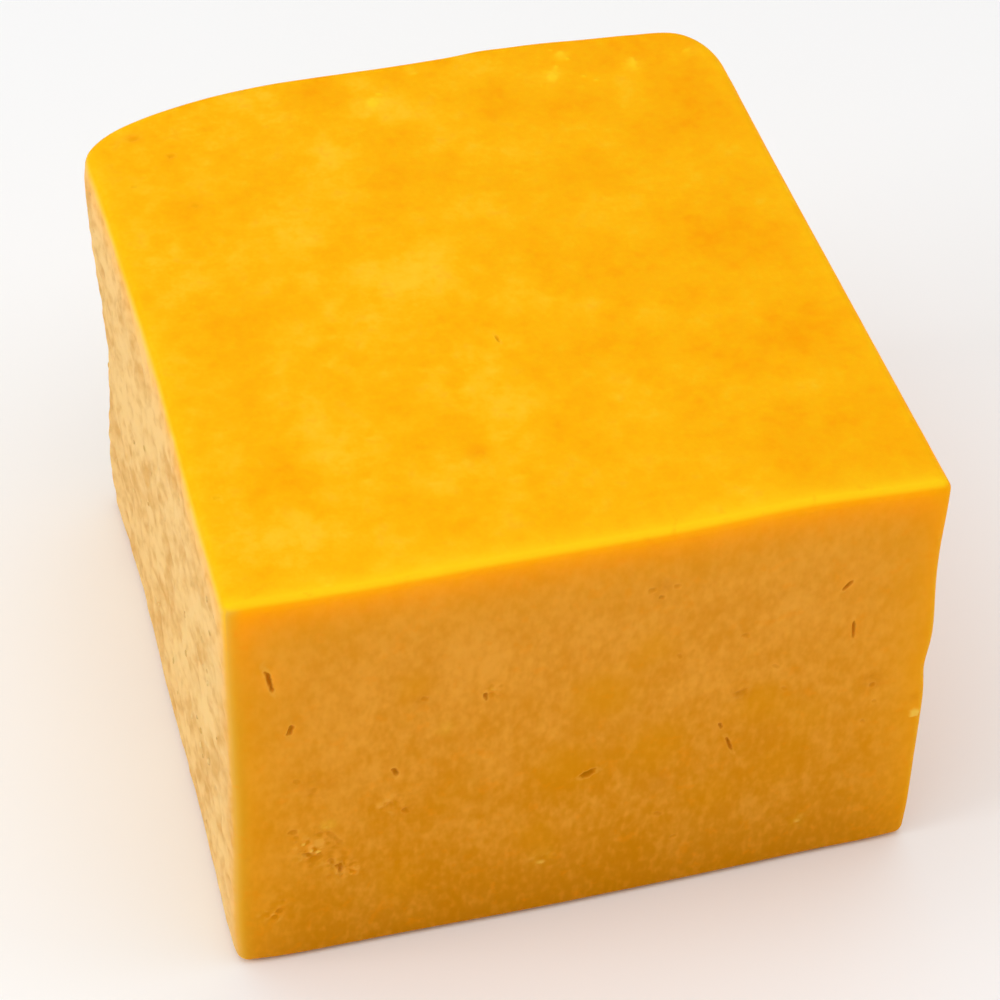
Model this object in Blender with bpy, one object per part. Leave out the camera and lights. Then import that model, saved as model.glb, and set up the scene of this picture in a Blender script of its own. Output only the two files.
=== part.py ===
"""A block of orange cheddar cheese, cut from a larger pressed block.

The front, right side and top are smooth cut faces with a few short curd openings. The left
side and the back are the rough, dimpled outside of the pressed block, so the two back corners
are rounded. Everything is one solid. The script's units are metres, +Z is up, the front faces
-Y, and the origin lies under the middle of the block.
"""

import math
from typing import NamedTuple

import bmesh
import bpy
from mathutils import Matrix, Vector, noise

MM = 0.001

# Driving dimensions
WIDTH = 110.0 * MM
DEPTH = 125.0 * MM
HEIGHT = 77.0 * MM

# Spaces between loop cuts along X, Y and Z; the rough faces are then cut once more
CELLS = (16, 26, 16)
ROUGH_CUTS = 1

# A point this near a face of the square block counts as on it
ON_FACE = 0.01 * MM

# Knife-sharp edges, softened a little
EDGE_RADIUS = 1.8 * MM
EDGE_SEGMENTS = 3
ROUND_PROFILE = 0.5

# Round back corners: how far each reaches along the back and along its side
BACK_LEFT_REACH = (38.0 * MM, 15.5 * MM)
BACK_RIGHT_REACH = (11.0 * MM, 14.0 * MM)

# Rough outside: bumps and dimples that fade out this far from a cut face
RELIEF_FADE = 4.0 * MM
BUMP_SIZE = 5.5 * MM
BUMP_HEIGHT = 0.35 * MM
BUMP_ROUGHNESS = 0.9
BUMP_LACUNARITY = 2.0
BUMP_OCTAVES = 2
DIMPLE_SPACING = 7.0 * MM
DIMPLE_DEPTH = 0.5 * MM
DIMPLE_SHARE = 0.38

# Lens-shaped cutters for the curd openings
LENS_SEGMENTS = 10
LENS_RINGS = 6
UNIT_RADIUS = 0.5
OPENING_DEPTH = 1.4 * MM
NICK_RADIUS = 0.9 * MM

# Looks of the solid
CHEESE_COLOUR = (1.0, 0.42, 0.02, 1.0)
CHEESE_ROUGHNESS = 0.5
CHEESE_METALLIC = 0.0


class Swell(NamedTuple):
    """A low rise on a face, or a hollow where height is negative.

    across and up are the middle, measured along the face from the block's centre line and
    from its bottom; on the top face, up runs from front to back through the middle.
    """

    across: float
    up: float
    reach: float
    height: float


class Opening(NamedTuple):
    """A short slit between curds, turned by tilt degrees from level, rising to the right."""

    across: float
    up: float
    length: float
    width: float
    tilt: float


LEFT_SWELLS = (
    Swell(48 * MM, 68 * MM, 11 * MM, 0.8 * MM),
    Swell(48 * MM, 38 * MM, 13 * MM, -0.7 * MM),
    Swell(54 * MM, 12 * MM, 9 * MM, 0.8 * MM),
    Swell(26 * MM, 0 * MM, 19 * MM, -0.6 * MM),
    Swell(-56 * MM, 9 * MM, 15 * MM, 0.8 * MM),
    Swell(-8 * MM, 74 * MM, 24 * MM, -0.5 * MM),
)
RIGHT_SWELLS = (
    Swell(-58 * MM, 61 * MM, 9 * MM, -0.6 * MM),
    Swell(-58 * MM, 46 * MM, 5 * MM, 0.3 * MM),
    Swell(20 * MM, 35 * MM, 26 * MM, 0.3 * MM),
)
BACK_SWELLS = (
    Swell(17 * MM, 72 * MM, 15 * MM, 0.7 * MM),
    Swell(-15 * MM, 72 * MM, 22 * MM, 0.4 * MM),
    Swell(-15 * MM, 28 * MM, 24 * MM, -0.6 * MM),
)
TOP_SWELLS = (
    Swell(33 * MM, -62 * MM, 14 * MM, 0.9 * MM),
    Swell(-36 * MM, -62 * MM, 14 * MM, -0.4 * MM),
    Swell(-10.5 * MM, -37.5 * MM, 5 * MM, -0.3 * MM),
)
FRONT_SWELLS = (
    Swell(44 * MM, 2 * MM, 20 * MM, -0.7 * MM),
    Swell(-8 * MM, 4 * MM, 16 * MM, 0.2 * MM),
    Swell(-35 * MM, 22 * MM, 14 * MM, -0.25 * MM),
)

FRONT_OPENINGS = (
    Opening(-48.3 * MM, 61.4 * MM, 4.6 * MM, 0.9 * MM, -79),
    Opening(-45.5 * MM, 50.9 * MM, 2.0 * MM, 0.9 * MM, 73),
    Opening(-29.8 * MM, 37.8 * MM, 1.9 * MM, 1.0 * MM, -70),
    Opening(-15.9 * MM, 51.1 * MM, 1.6 * MM, 0.9 * MM, -84),
    Opening(0.5 * MM, 29.7 * MM, 2.9 * MM, 1.1 * MM, 17),
    Opening(21.5 * MM, 34.8 * MM, 1.5 * MM, 0.8 * MM, -69),
    Opening(23.1 * MM, 30.5 * MM, 3.4 * MM, 0.9 * MM, -72),
    Opening(41.7 * MM, 51.0 * MM, 3.6 * MM, 0.7 * MM, -88),
    Opening(39.9 * MM, 60.1 * MM, 1.9 * MM, 0.9 * MM, 50),
    Opening(-38.7 * MM, 18.6 * MM, 2.3 * MM, 1.0 * MM, -74),
    Opening(-43.2 * MM, 23.1 * MM, 3.0 * MM, 0.9 * MM, -12),
)
TOP_OPENING = Opening(-1.1 * MM, -13.7 * MM, 1.9 * MM, 0.8 * MM, -80)
NICK_HEIGHTS = (42.1 * MM, 29.6 * MM)


def clear_scene():
    """Removes whatever objects the open file holds."""
    for obj in list(bpy.data.objects):
        bpy.data.objects.remove(obj, do_unlink=True)


def new_collection(name):
    """Returns a new collection, linked to the scene."""
    collection = bpy.data.collections.new(name)
    bpy.context.scene.collection.children.link(collection)
    return collection


def cheese_material():
    """Returns the cheese's own material."""
    material = bpy.data.materials.new("orange_cheddar")
    material.use_nodes = True
    shader = material.node_tree.nodes["Principled BSDF"]
    shader.inputs["Base Color"].default_value = CHEESE_COLOUR
    shader.inputs["Roughness"].default_value = CHEESE_ROUGHNESS
    shader.inputs["Metallic"].default_value = CHEESE_METALLIC
    material.diffuse_color = CHEESE_COLOUR
    return material


def square_block():
    """Returns a sharp-edged block standing on z = 0, with even loop cuts all over."""
    bm = bmesh.new()
    bmesh.ops.create_cube(bm, size=1.0)
    bmesh.ops.scale(bm, vec=(WIDTH, DEPTH, HEIGHT), verts=bm.verts)
    bmesh.ops.translate(bm, vec=(0.0, 0.0, HEIGHT / 2), verts=bm.verts)
    starts = (-WIDTH / 2, -DEPTH / 2, 0.0)
    for axis, size in enumerate((WIDTH, DEPTH, HEIGHT)):
        normal = Vector(tuple(float(axis == other) for other in range(3)))
        for cut in range(1, CELLS[axis]):
            place = normal * (starts[axis] + size * cut / CELLS[axis])
            everything = bm.verts[:] + bm.edges[:] + bm.faces[:]
            bmesh.ops.bisect_plane(bm, geom=everything, plane_co=place, plane_no=normal)
    return bm


def touches(point, axis, side):
    """Tells whether a point of the square block lies on one of its faces; side is -1 or 1."""
    middle = Vector((0.0, 0.0, HEIGHT / 2))
    reach = (WIDTH, DEPTH, HEIGHT)[axis] / 2
    return math.isclose((point - middle)[axis], side * reach, abs_tol=ON_FACE)


def cut_edges(bm):
    """Returns the edges to soften: all along the top and bottom, and the two upright front ones."""
    chosen = []
    for edge in bm.edges:
        ends = [vert.co for vert in edge.verts]
        left, right, front, back, bottom, top = (
            all(touches(end, axis, side) for end in ends)
            for axis in range(3)
            for side in (-1, 1)
        )
        if (left or right or front or back) and (top or bottom):
            chosen.append(edge)
        elif front and (left or right):
            chosen.append(edge)
    return chosen


def soften_edges(bm):
    """Rounds the cut edges."""
    bmesh.ops.bevel(
        bm,
        geom=cut_edges(bm),
        offset=EDGE_RADIUS,
        segments=EDGE_SEGMENTS,
        profile=ROUND_PROFILE,
        affect="EDGES",
        clamp_overlap=True,
    )


def refine_rough_faces(bm):
    """Cuts the left and back faces more finely, so that they can hold the relief."""
    edges = set()
    for face in bm.faces:
        corners = [vert.co for vert in face.verts]
        on_left = all(touches(corner, 0, -1) for corner in corners)
        on_back = all(touches(corner, 1, 1) for corner in corners)
        if on_left or on_back:
            edges.update(face.edges)
    bmesh.ops.subdivide_edges(bm, edges=list(edges), cuts=ROUGH_CUTS, use_grid_fill=True)


def ramp(distance, length):
    """Rises smoothly from 0 to 1 over a length."""
    t = min(max(distance / length, 0.0), 1.0)
    return t * t * (3.0 - 2.0 * t)


def roughness_at(point):
    """Returns how rough the outside is at a point of the square block: 0 on the cut faces."""
    from_front = ramp(point.y + DEPTH / 2, RELIEF_FADE)
    from_right = ramp(WIDTH / 2 - point.x, RELIEF_FADE)
    from_top = ramp(HEIGHT - point.z, RELIEF_FADE)
    from_bottom = ramp(point.z, RELIEF_FADE)
    return from_front * from_right * from_top * from_bottom


def total_swell(swells, across, up):
    """Adds up the rises and hollows of one face at a place on it."""
    total = 0.0
    for swell in swells:
        away = math.hypot(across - swell.across, up - swell.up) / swell.reach
        total += swell.height * math.exp(-away * away)
    return total


def swollen(point):
    """Moves a point of the square block as its faces' rises and hollows push it.

    A face's push is whole on the face and fades to nothing at the block's middle.
    """
    x, y, z = point
    left = max(0.0, -2 * x / WIDTH) * total_swell(LEFT_SWELLS, y, z)
    right = max(0.0, 2 * x / WIDTH) * total_swell(RIGHT_SWELLS, y, z)
    front = max(0.0, -2 * y / DEPTH) * total_swell(FRONT_SWELLS, x, z)
    back = max(0.0, 2 * y / DEPTH) * total_swell(BACK_SWELLS, x, z)
    top = z / HEIGHT * total_swell(TOP_SWELLS, x, y)
    return Vector((x - left + right, y - front + back, z + top))


def round_corner(point, side, reach):
    """Pulls a point of a square back corner onto the corner's quarter ellipse.

    side is -1 for the left corner and 1 for the right one.
    """
    centre_x = side * (WIDTH / 2 - reach[0])
    centre_y = DEPTH / 2 - reach[1]
    u = side * (point.x - centre_x) / reach[0]
    v = (point.y - centre_y) / reach[1]
    if u <= 0.0 or v <= 0.0:
        return point
    pull = max(u, v) / math.hypot(u, v)
    return Vector((centre_x + side * u * pull * reach[0], centre_y + v * pull * reach[1], point.z))


def relief_at(point):
    """Returns the height of the rough outside's bumps and dimples at a point."""
    bumps = noise.fractal(point / BUMP_SIZE, BUMP_ROUGHNESS, BUMP_LACUNARITY, BUMP_OCTAVES)
    nearest = noise.voronoi(point / DIMPLE_SPACING)[0][0]
    dimple = ramp(DIMPLE_SHARE - nearest, DIMPLE_SHARE)
    return BUMP_HEIGHT * bumps - DIMPLE_DEPTH * dimple


def shape_block(bm):
    """Bends the square block into the real one, then raises the rough outside's relief."""
    rough = {}
    for vert in bm.verts:
        rough[vert] = roughness_at(vert.co)
        flat = round_corner(vert.co, -1, BACK_LEFT_REACH)
        flat = round_corner(flat, 1, BACK_RIGHT_REACH)
        vert.co = swollen(flat)
    bm.normal_update()
    pushes = {vert: vert.normal * relief_at(vert.co) * share for vert, share in rough.items()}
    for vert, push in pushes.items():
        vert.co += push


def centre_block(bm):
    """Moves the block so that its box stands on z = 0 around the Z axis."""
    low = Vector(tuple(min(vert.co[axis] for vert in bm.verts) for axis in range(3)))
    high = Vector(tuple(max(vert.co[axis] for vert in bm.verts) for axis in range(3)))
    shift = -(low + high) / 2
    shift.z = -low.z
    bmesh.ops.translate(bm, vec=shift, verts=bm.verts)


def block_mesh():
    """Returns the whole block's mesh, without its openings."""
    bm = square_block()
    soften_edges(bm)
    refine_rough_faces(bm)
    shape_block(bm)
    centre_block(bm)
    bmesh.ops.triangulate(bm, faces=bm.faces)
    mesh = bpy.data.meshes.new("cheese_block")
    bm.to_mesh(mesh)
    bm.free()
    mesh.shade_smooth()
    return mesh


def add_lens(name, place, turn, size, cutters):
    """Adds a lens-shaped cutter: a sphere of the given size, turned and moved into place."""
    bm = bmesh.new()
    bmesh.ops.create_uvsphere(
        bm, u_segments=LENS_SEGMENTS, v_segments=LENS_RINGS, radius=UNIT_RADIUS
    )
    bmesh.ops.scale(bm, vec=size, verts=bm.verts)
    bmesh.ops.transform(bm, matrix=turn, verts=bm.verts)
    mesh = bpy.data.meshes.new(name)
    bm.to_mesh(mesh)
    bm.free()
    lens = bpy.data.objects.new(name, mesh)
    lens.location = place
    lens.hide_render = True
    lens.display_type = "WIRE"
    cutters.objects.link(lens)


def add_front_openings(cutters):
    """Adds the cutters of the front face's openings."""
    for index, opening in enumerate(FRONT_OPENINGS):
        place = Vector((opening.across, -DEPTH / 2, opening.up))
        turn = Matrix.Rotation(math.radians(-opening.tilt), 4, "Y")
        size = (opening.length, 2 * OPENING_DEPTH, opening.width)
        add_lens(f"front_opening_{index:02d}", place, turn, size, cutters)


def add_top_opening(cutters):
    """Adds the cutter of the one opening in the top face."""
    place = Vector((TOP_OPENING.across, TOP_OPENING.up, HEIGHT))
    turn = Matrix.Rotation(math.radians(TOP_OPENING.tilt), 4, "Z")
    size = (TOP_OPENING.length, TOP_OPENING.width, 2 * OPENING_DEPTH)
    add_lens("top_opening", place, turn, size, cutters)


def add_edge_nicks(cutters):
    """Adds the cutters of the small nicks in the upright front right edge."""
    for index, height in enumerate(NICK_HEIGHTS):
        place = Vector((WIDTH / 2, -DEPTH / 2, height))
        size = (2 * NICK_RADIUS, 2 * NICK_RADIUS, NICK_RADIUS)
        add_lens(f"edge_nick_{index}", place, Matrix.Identity(4), size, cutters)


def cut_openings(block, cutters):
    """Cuts every opening out of the block at once."""
    modifier = block.modifiers.new("openings", "BOOLEAN")
    modifier.operation = "DIFFERENCE"
    modifier.solver = "EXACT"
    modifier.operand_type = "COLLECTION"
    modifier.collection = cutters


def main():
    """Builds the cheese."""
    clear_scene()
    parts = new_collection("cheddar_cheese")
    cutters = new_collection("cheddar_cheese_cutters")
    block = bpy.data.objects.new("cheese_block", block_mesh())
    block.data.materials.append(cheese_material())
    parts.objects.link(block)
    add_front_openings(cutters)
    add_top_opening(cutters)
    add_edge_nicks(cutters)
    cut_openings(block, cutters)


if __name__ == "__main__":
    main()
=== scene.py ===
"""The looks of a block of orange cheddar cheese.

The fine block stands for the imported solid: the same form from the same sizes on a finer grid,
with the curd relief of its rough outside, its torn openings and its pale nubs. Lengths are in
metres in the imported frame, where +Z is up and the smooth cut front faces -Y.
"""

import logging
import math
from collections.abc import Iterable
from dataclasses import dataclass, field
from enum import Enum
from typing import Any, ClassVar, NamedTuple

import bmesh
import bpy
import numpy as np
from mathutils import Matrix, Vector, noise


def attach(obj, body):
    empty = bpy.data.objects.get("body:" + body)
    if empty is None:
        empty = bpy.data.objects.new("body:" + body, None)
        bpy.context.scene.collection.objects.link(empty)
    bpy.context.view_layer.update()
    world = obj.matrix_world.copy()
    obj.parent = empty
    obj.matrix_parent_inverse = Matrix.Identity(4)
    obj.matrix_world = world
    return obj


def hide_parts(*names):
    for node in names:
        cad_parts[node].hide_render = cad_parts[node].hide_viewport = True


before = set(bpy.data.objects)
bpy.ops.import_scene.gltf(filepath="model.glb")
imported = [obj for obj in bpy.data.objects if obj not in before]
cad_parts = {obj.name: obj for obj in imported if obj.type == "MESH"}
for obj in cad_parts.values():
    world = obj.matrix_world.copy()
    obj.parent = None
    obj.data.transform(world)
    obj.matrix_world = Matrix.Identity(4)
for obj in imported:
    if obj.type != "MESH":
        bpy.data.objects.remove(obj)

MM = 0.001
# Keeps a length that is divided by from being nothing
TINY = 1e-9
NODE = "cheese_block"
BODY = "root"
# How the outside was pulled: down towards the back, and how many times longer
PULL_LEAN = math.radians(34.0)
PULL_STRETCH = 2.0
CHEESE_IOR = 1.45

log = logging.getLogger("cheddar")

Array = np.ndarray
Mesh = bpy.types.Mesh
Material = bpy.types.Material
Socket = bpy.types.NodeSocket

Triple = tuple[float, float, float]
# Red, green and blue as a screen shows them, from 0 to 255
Colour = Triple
# A colour, and the most of it that goes in
Tint = tuple[float, float, float, float]
# Where a smooth rise starts and where it ends
Span = tuple[float, float]
# What a value is multiplied by, and what is then added
Line = tuple[float, float]


def shown_colour(red: float, green: float, blue: float) -> tuple[float, float, float, float]:
    """Turns a colour as a screen shows it into the shader's linear one.

    Args:
        red: Red, from 0 to 255.
        green: Green, from 0 to 255.
        blue: Blue, from 0 to 255.

    Returns:
        The linear colour with an alpha of 1.
    """
    linear = []
    for part in (red / 255, green / 255, blue / 255):
        linear.append(part / 12.92 if part <= 0.04045 else ((part + 0.055) / 1.055) ** 2.4)
    return linear[0], linear[1], linear[2], 1.0


def ramp(distance: Array, length: float) -> Array:
    """Rises smoothly from 0 to 1 over a length.

    Args:
        distance: How far each point is.
        length: Where the rise ends.

    Returns:
        The share for each point.
    """
    t = np.clip(distance / length, 0.0, 1.0)
    return t * t * (3.0 - 2.0 * t)


class Grain(NamedTuple):
    """A noise pattern.

    Attributes:
        size: How wide a patch is.
        detail: How many finer patterns are added.
        seed: Which pattern of that size it is.
        fineness: How strong each finer pattern is, beside the one before it.
    """

    size: float
    detail: float = 2.0
    seed: float = 0.0
    fineness: float = 0.5


class Mark(Enum):
    """The values that the block's mesh keeps for its material, by attribute name."""

    ROUGH = "rough"
    OUTSIDE = "outside"
    # How far round a rounded edge a point is: the upright faces get a painted highlight there
    EDGE = "edge"
    UPWARD = "upward"
    # How near the top's edges a point is: the top gets a painted glowing rim there
    GLOW = "glow"
    # How near the top a point is: the upright faces get a painted glow there, and light spreads
    # further below the top's edges
    LIT = "lit"
    # How near an upright edge a point is: the upright faces get a painted glow there
    BORDER = "border"
    # How near the bottom a point is: the upright faces get painted shade there
    FOOT = "foot"
    CRUMBLY = "crumbly"
    STAIN = "stain"
    TONE = "tone"
    NUB = "nub"
    CAVITY = "cavity"
    LIP = "lip"
    RELIEF = "relief"


class NodeBuilder:
    """Adds and links the nodes of one tree, for geometry and shaders alike."""

    def __init__(self, tree: bpy.types.NodeTree) -> None:
        """Starts on a tree.

        Args:
            tree: The tree to fill.
        """
        self.tree = tree

    def add(
        self, kind: str, values: dict[Any, Any] | None = None, **settings: Any
    ) -> bpy.types.Node:
        """Adds one node.

        Args:
            kind: The node's type name.
            values: What goes into each input: a socket to link, or a plain value.
            **settings: The node's own settings.

        Returns:
            The new node.
        """
        made = self.tree.nodes.new(kind)
        for name, value in settings.items():
            setattr(made, name, value)
        for key, value in (values or {}).items():
            if isinstance(value, Socket):
                self.tree.links.new(value, made.inputs[key])
            else:
                made.inputs[key].default_value = value
        return made

    def math(self, operation: str, *terms: Any) -> Socket:
        """Adds a Math node and returns its result."""
        return self.add("ShaderNodeMath", dict(enumerate(terms)), operation=operation).outputs[0]

    def times(self, first: Socket, second: Any) -> Socket:
        """Returns the product of two values."""
        return self.math("MULTIPLY", first, second)

    def fitted(self, value: Socket, line: Line) -> Socket:
        """Returns where a value lies on a straight line."""
        return self.math("MULTIPLY_ADD", value, *line)

    def rest(self, share: Socket) -> Socket:
        """Returns what a share leaves of 1."""
        return self.math("SUBTRACT", 1.0, share)

    def swing(self, pattern: Socket) -> Socket:
        """Returns how far a noise pattern is above or below its middle."""
        return self.math("SUBTRACT", pattern, 0.5)

    def scaled(self, vector: Socket, factor: Any) -> Socket:
        """Returns a vector times a factor."""
        values = {0: vector, "Scale": factor}
        return self.add("ShaderNodeVectorMath", values, operation="SCALE").outputs[0]

    def smooth(self, value: Socket, low: float, high: float) -> Socket:
        """Adds a smooth step from 0 at low to 1 at high, and returns its result."""
        values = {"Value": value, "From Min": low, "From Max": high}
        return self.add("ShaderNodeMapRange", values, interpolation_type="SMOOTHSTEP").outputs[0]

    def grain(self, place: Socket, pattern: Grain, seed: Socket | None = None) -> Socket:
        """Adds a noise pattern.

        Args:
            place: The socket that gives each point's place.
            pattern: The pattern.
            seed: The socket that gives its seed, where that isn't the pattern's own.

        Returns:
            The noise factor, about 0.5 on average.
        """
        values = {
            "Vector": place,
            "W": pattern.seed if seed is None else seed,
            "Scale": 1.0 / pattern.size,
            "Detail": pattern.detail,
            "Roughness": pattern.fineness,
        }
        return self.add("ShaderNodeTexNoise", values, noise_dimensions="4D").outputs[0]

    def pulled(self, place: Socket) -> Socket:
        """Draws a pattern out along the outside.

        Args:
            place: The socket that gives each point's place.

        Returns:
            The places to read the pattern at.
        """
        values = {"Vector": place, "Angle": PULL_LEAN}
        turned = self.add("ShaderNodeVectorRotate", values, rotation_type="X_AXIS").outputs[0]
        values = {0: turned, 1: (1.0, 1.0 / PULL_STRETCH, 1.0)}
        return self.add("ShaderNodeVectorMath", values, operation="MULTIPLY").outputs[0]

    def cells(self, place: Socket, size: float) -> Socket:
        """Adds a pattern of cells and returns the distance to the nearest middle, in cells."""
        values = {"Vector": place, "Scale": 1.0 / size}
        return self.add("ShaderNodeTexVoronoi", values).outputs["Distance"]

    def blend(self, factor: Socket, first: Any, second: Any) -> Socket:
        """Mixes a second colour into a first one, as far as the factor says."""
        values = {0: factor, 6: first, 7: second}
        return self.add("ShaderNodeMix", values, data_type="RGBA").outputs[2]


class GeometryTree(NodeBuilder):
    """A Geometry Nodes tree with named inputs, which makes a plain mesh with its finish."""

    def __init__(self, name: str, finish: Material, inputs: dict[str, tuple[str, Any]]) -> None:
        """Starts the tree.

        Args:
            name: What the tree and its result are called.
            finish: The material that the result gets.
            inputs: Each named input's kind of socket and its value.
        """
        super().__init__(bpy.data.node_groups.new(name, "GeometryNodeTree"))
        self.values = {}
        add_socket = self.tree.interface.new_socket
        add_socket("Geometry", in_out="INPUT", socket_type="NodeSocketGeometry")
        for label, (kind, value) in {**inputs, "Finish": ("Material", finish)}.items():
            socket = add_socket(label, in_out="INPUT", socket_type=f"NodeSocket{kind}")
            self.values[socket.identifier] = value
        add_socket("Geometry", in_out="OUTPUT", socket_type="NodeSocketGeometry")
        self.given = self.add("NodeGroupInput").outputs
        self.place = self.add("GeometryNodeInputPosition").outputs[0]

    def read(self, name: str, kind: str = "FLOAT") -> Socket:
        """Reads one of the named values that the mesh's points keep."""
        read = self.add("GeometryNodeInputNamedAttribute", {"Name": name}, data_type=kind)
        return read.outputs["Attribute"]

    def raised(self, geometry: Socket, rise: Socket) -> Socket:
        """Moves a mesh's points out along their normals."""
        offset = self.scaled(self.add("GeometryNodeInputNormal").outputs[0], rise)
        return self.add("GeometryNodeSetPosition", {0: geometry, "Offset": offset}).outputs[0]

    def result(self, geometry: Socket, mesh: Mesh | None = None) -> Mesh:
        """Ends the tree and runs it.

        Args:
            geometry: What the tree has made.
            mesh: The mesh that the tree starts from, or none.

        Returns:
            The result as a plain mesh.
        """
        real = self.add("GeometryNodeRealizeInstances", {0: geometry}).outputs[0]
        values = {"Geometry": real, "Material": self.given["Finish"]}
        self.add("NodeGroupOutput", {0: self.add("GeometryNodeSetMaterial", values).outputs[0]})
        name = self.tree.name
        carrier = bpy.data.objects.new(name, mesh or bpy.data.meshes.new(name))
        bpy.context.scene.collection.objects.link(carrier)
        modifier = carrier.modifiers.new(name, "NODES")
        modifier.node_group = self.tree
        for identifier, value in self.values.items():
            modifier[identifier] = value
        graph = bpy.context.evaluated_depsgraph_get()
        result = bpy.data.meshes.new_from_object(carrier.evaluated_get(graph))
        bpy.data.objects.remove(carrier)
        return result


class FinishTree(NodeBuilder):
    """A material's node tree, which reads Object coordinates."""

    def __init__(self, name: str, marks: Iterable[Mark] = ()) -> None:
        """Starts on a new material.

        Args:
            name: The material's name.
            marks: The values of the mesh that it reads.
        """
        self.material = bpy.data.materials.new(name)
        self.material.use_nodes = True
        super().__init__(self.material.node_tree)
        self.tree.nodes.clear()
        self.place = self.add("ShaderNodeTexCoord").outputs["Object"]
        self.marks = {
            mark: self.add("ShaderNodeAttribute", attribute_name=mark.value).outputs["Fac"]
            for mark in marks
        }

    def along(self, axis: str) -> Socket:
        """Returns how far along an axis each point is."""
        return self.add("ShaderNodeSeparateXYZ", {0: self.place}).outputs[axis]

    def total(self, patterns: tuple[Socket, ...], weights: tuple[float, ...]) -> Socket:
        """Adds up patterns.

        Args:
            patterns: The patterns.
            weights: How much of each goes in.

        Returns:
            Their sum.
        """
        total: Any = 0.0
        for pattern, weight in zip(patterns, weights):
            total = self.math("MULTIPLY_ADD", pattern, weight, total)
        return total

    def shade(self, pattern: Socket, span: Span, low: Colour, high: Colour) -> Socket:
        """Blends from a low colour to a high one as a pattern rises through a span."""
        return self.blend(self.smooth(pattern, *span), shown_colour(*low), shown_colour(*high))

    def layered(self, colour: Socket, *layers: tuple[Socket, Tint]) -> Socket:
        """Lays tints over a colour, one after the other.

        Args:
            colour: The colour to start from.
            *layers: Where each tint goes, and the tint.

        Returns:
            The final colour.
        """
        for where, (*tint, most) in layers:
            colour = self.blend(self.times(where, most), colour, shown_colour(*tint))
        return colour

    def bumped(self, height: Socket, distance: float) -> Socket:
        """Returns the normal that a height pattern gives."""
        values = {"Height": height, "Strength": 1.0, "Distance": distance}
        return self.add("ShaderNodeBump", values).outputs["Normal"]

    def finished(self, values: dict[str, Any]) -> Material:
        """Ends the tree in a shader that light sinks into.

        Args:
            values: What goes into each of the shader's inputs.

        Returns:
            The material.
        """
        values = {"IOR": CHEESE_IOR, "Subsurface Weight": 1.0, **values}
        shader = self.add("ShaderNodeBsdfPrincipled", values, subsurface_method="BURLEY")
        self.add("ShaderNodeOutputMaterial", {"Surface": shader.outputs[0]})
        return self.material


@dataclass(frozen=True)
class Swell:
    """A low rise on a face, or a hollow where height is negative."""

    across: float
    up: float
    reach: float
    height: float

    def rise(self, across: Array, up: Array) -> Array:
        """Returns how far it lifts each place on the face."""
        away = np.hypot(across - self.across * MM, up - self.up * MM) / (self.reach * MM)
        return self.height * MM * np.exp(-away * away)


@dataclass(frozen=True)
class Spot:
    """A small oval spot on a cut face, in millimetres, turned by tilt degrees from level."""

    across: float
    up: float
    length: float
    width: float
    tilt: float = 0.0
    bluntness: ClassVar[float] = 2.0

    def reach(self, across: Array, up: Array) -> Array:
        """Returns how far each place is from the spot's middle, in half sizes."""
        along, beside = np.abs(self.turned(across, up))
        return (along**self.bluntness + beside**self.bluntness) ** (1.0 / self.bluntness)

    def turned(self, across: Array, up: Array) -> tuple[Array, Array]:
        """Measures places along the spot and across it.

        Args:
            across: How far across the face each place is.
            up: How far up the face each place is.

        Returns:
            Each place's distance along the spot and across it, in half sizes.
        """
        turn = math.radians(self.tilt)
        du, dv = across - self.across * MM, up - self.up * MM
        along = (du * math.cos(turn) + dv * math.sin(turn)) / (self.length * MM / 2)
        beside = (dv * math.cos(turn) - du * math.sin(turn)) / (self.width * MM / 2)
        return along, beside


@dataclass(frozen=True)
class Opening(Spot):
    """A short opening between curds, with blunt ends; depth is 1 for a full one."""

    depth: float = 1.0
    bluntness: ClassVar[float] = 2.8


@dataclass(frozen=True)
class Nub(Spot):
    """A pale nub of curd that stands a little out of the face; height is in millimetres."""

    height: float = 0.22


def shapes(kind: type, *rows: tuple[float, ...]) -> tuple[Any, ...]:
    """Makes one shape of a kind from each row of its values."""
    return tuple(kind(*row) for row in rows)


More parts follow.
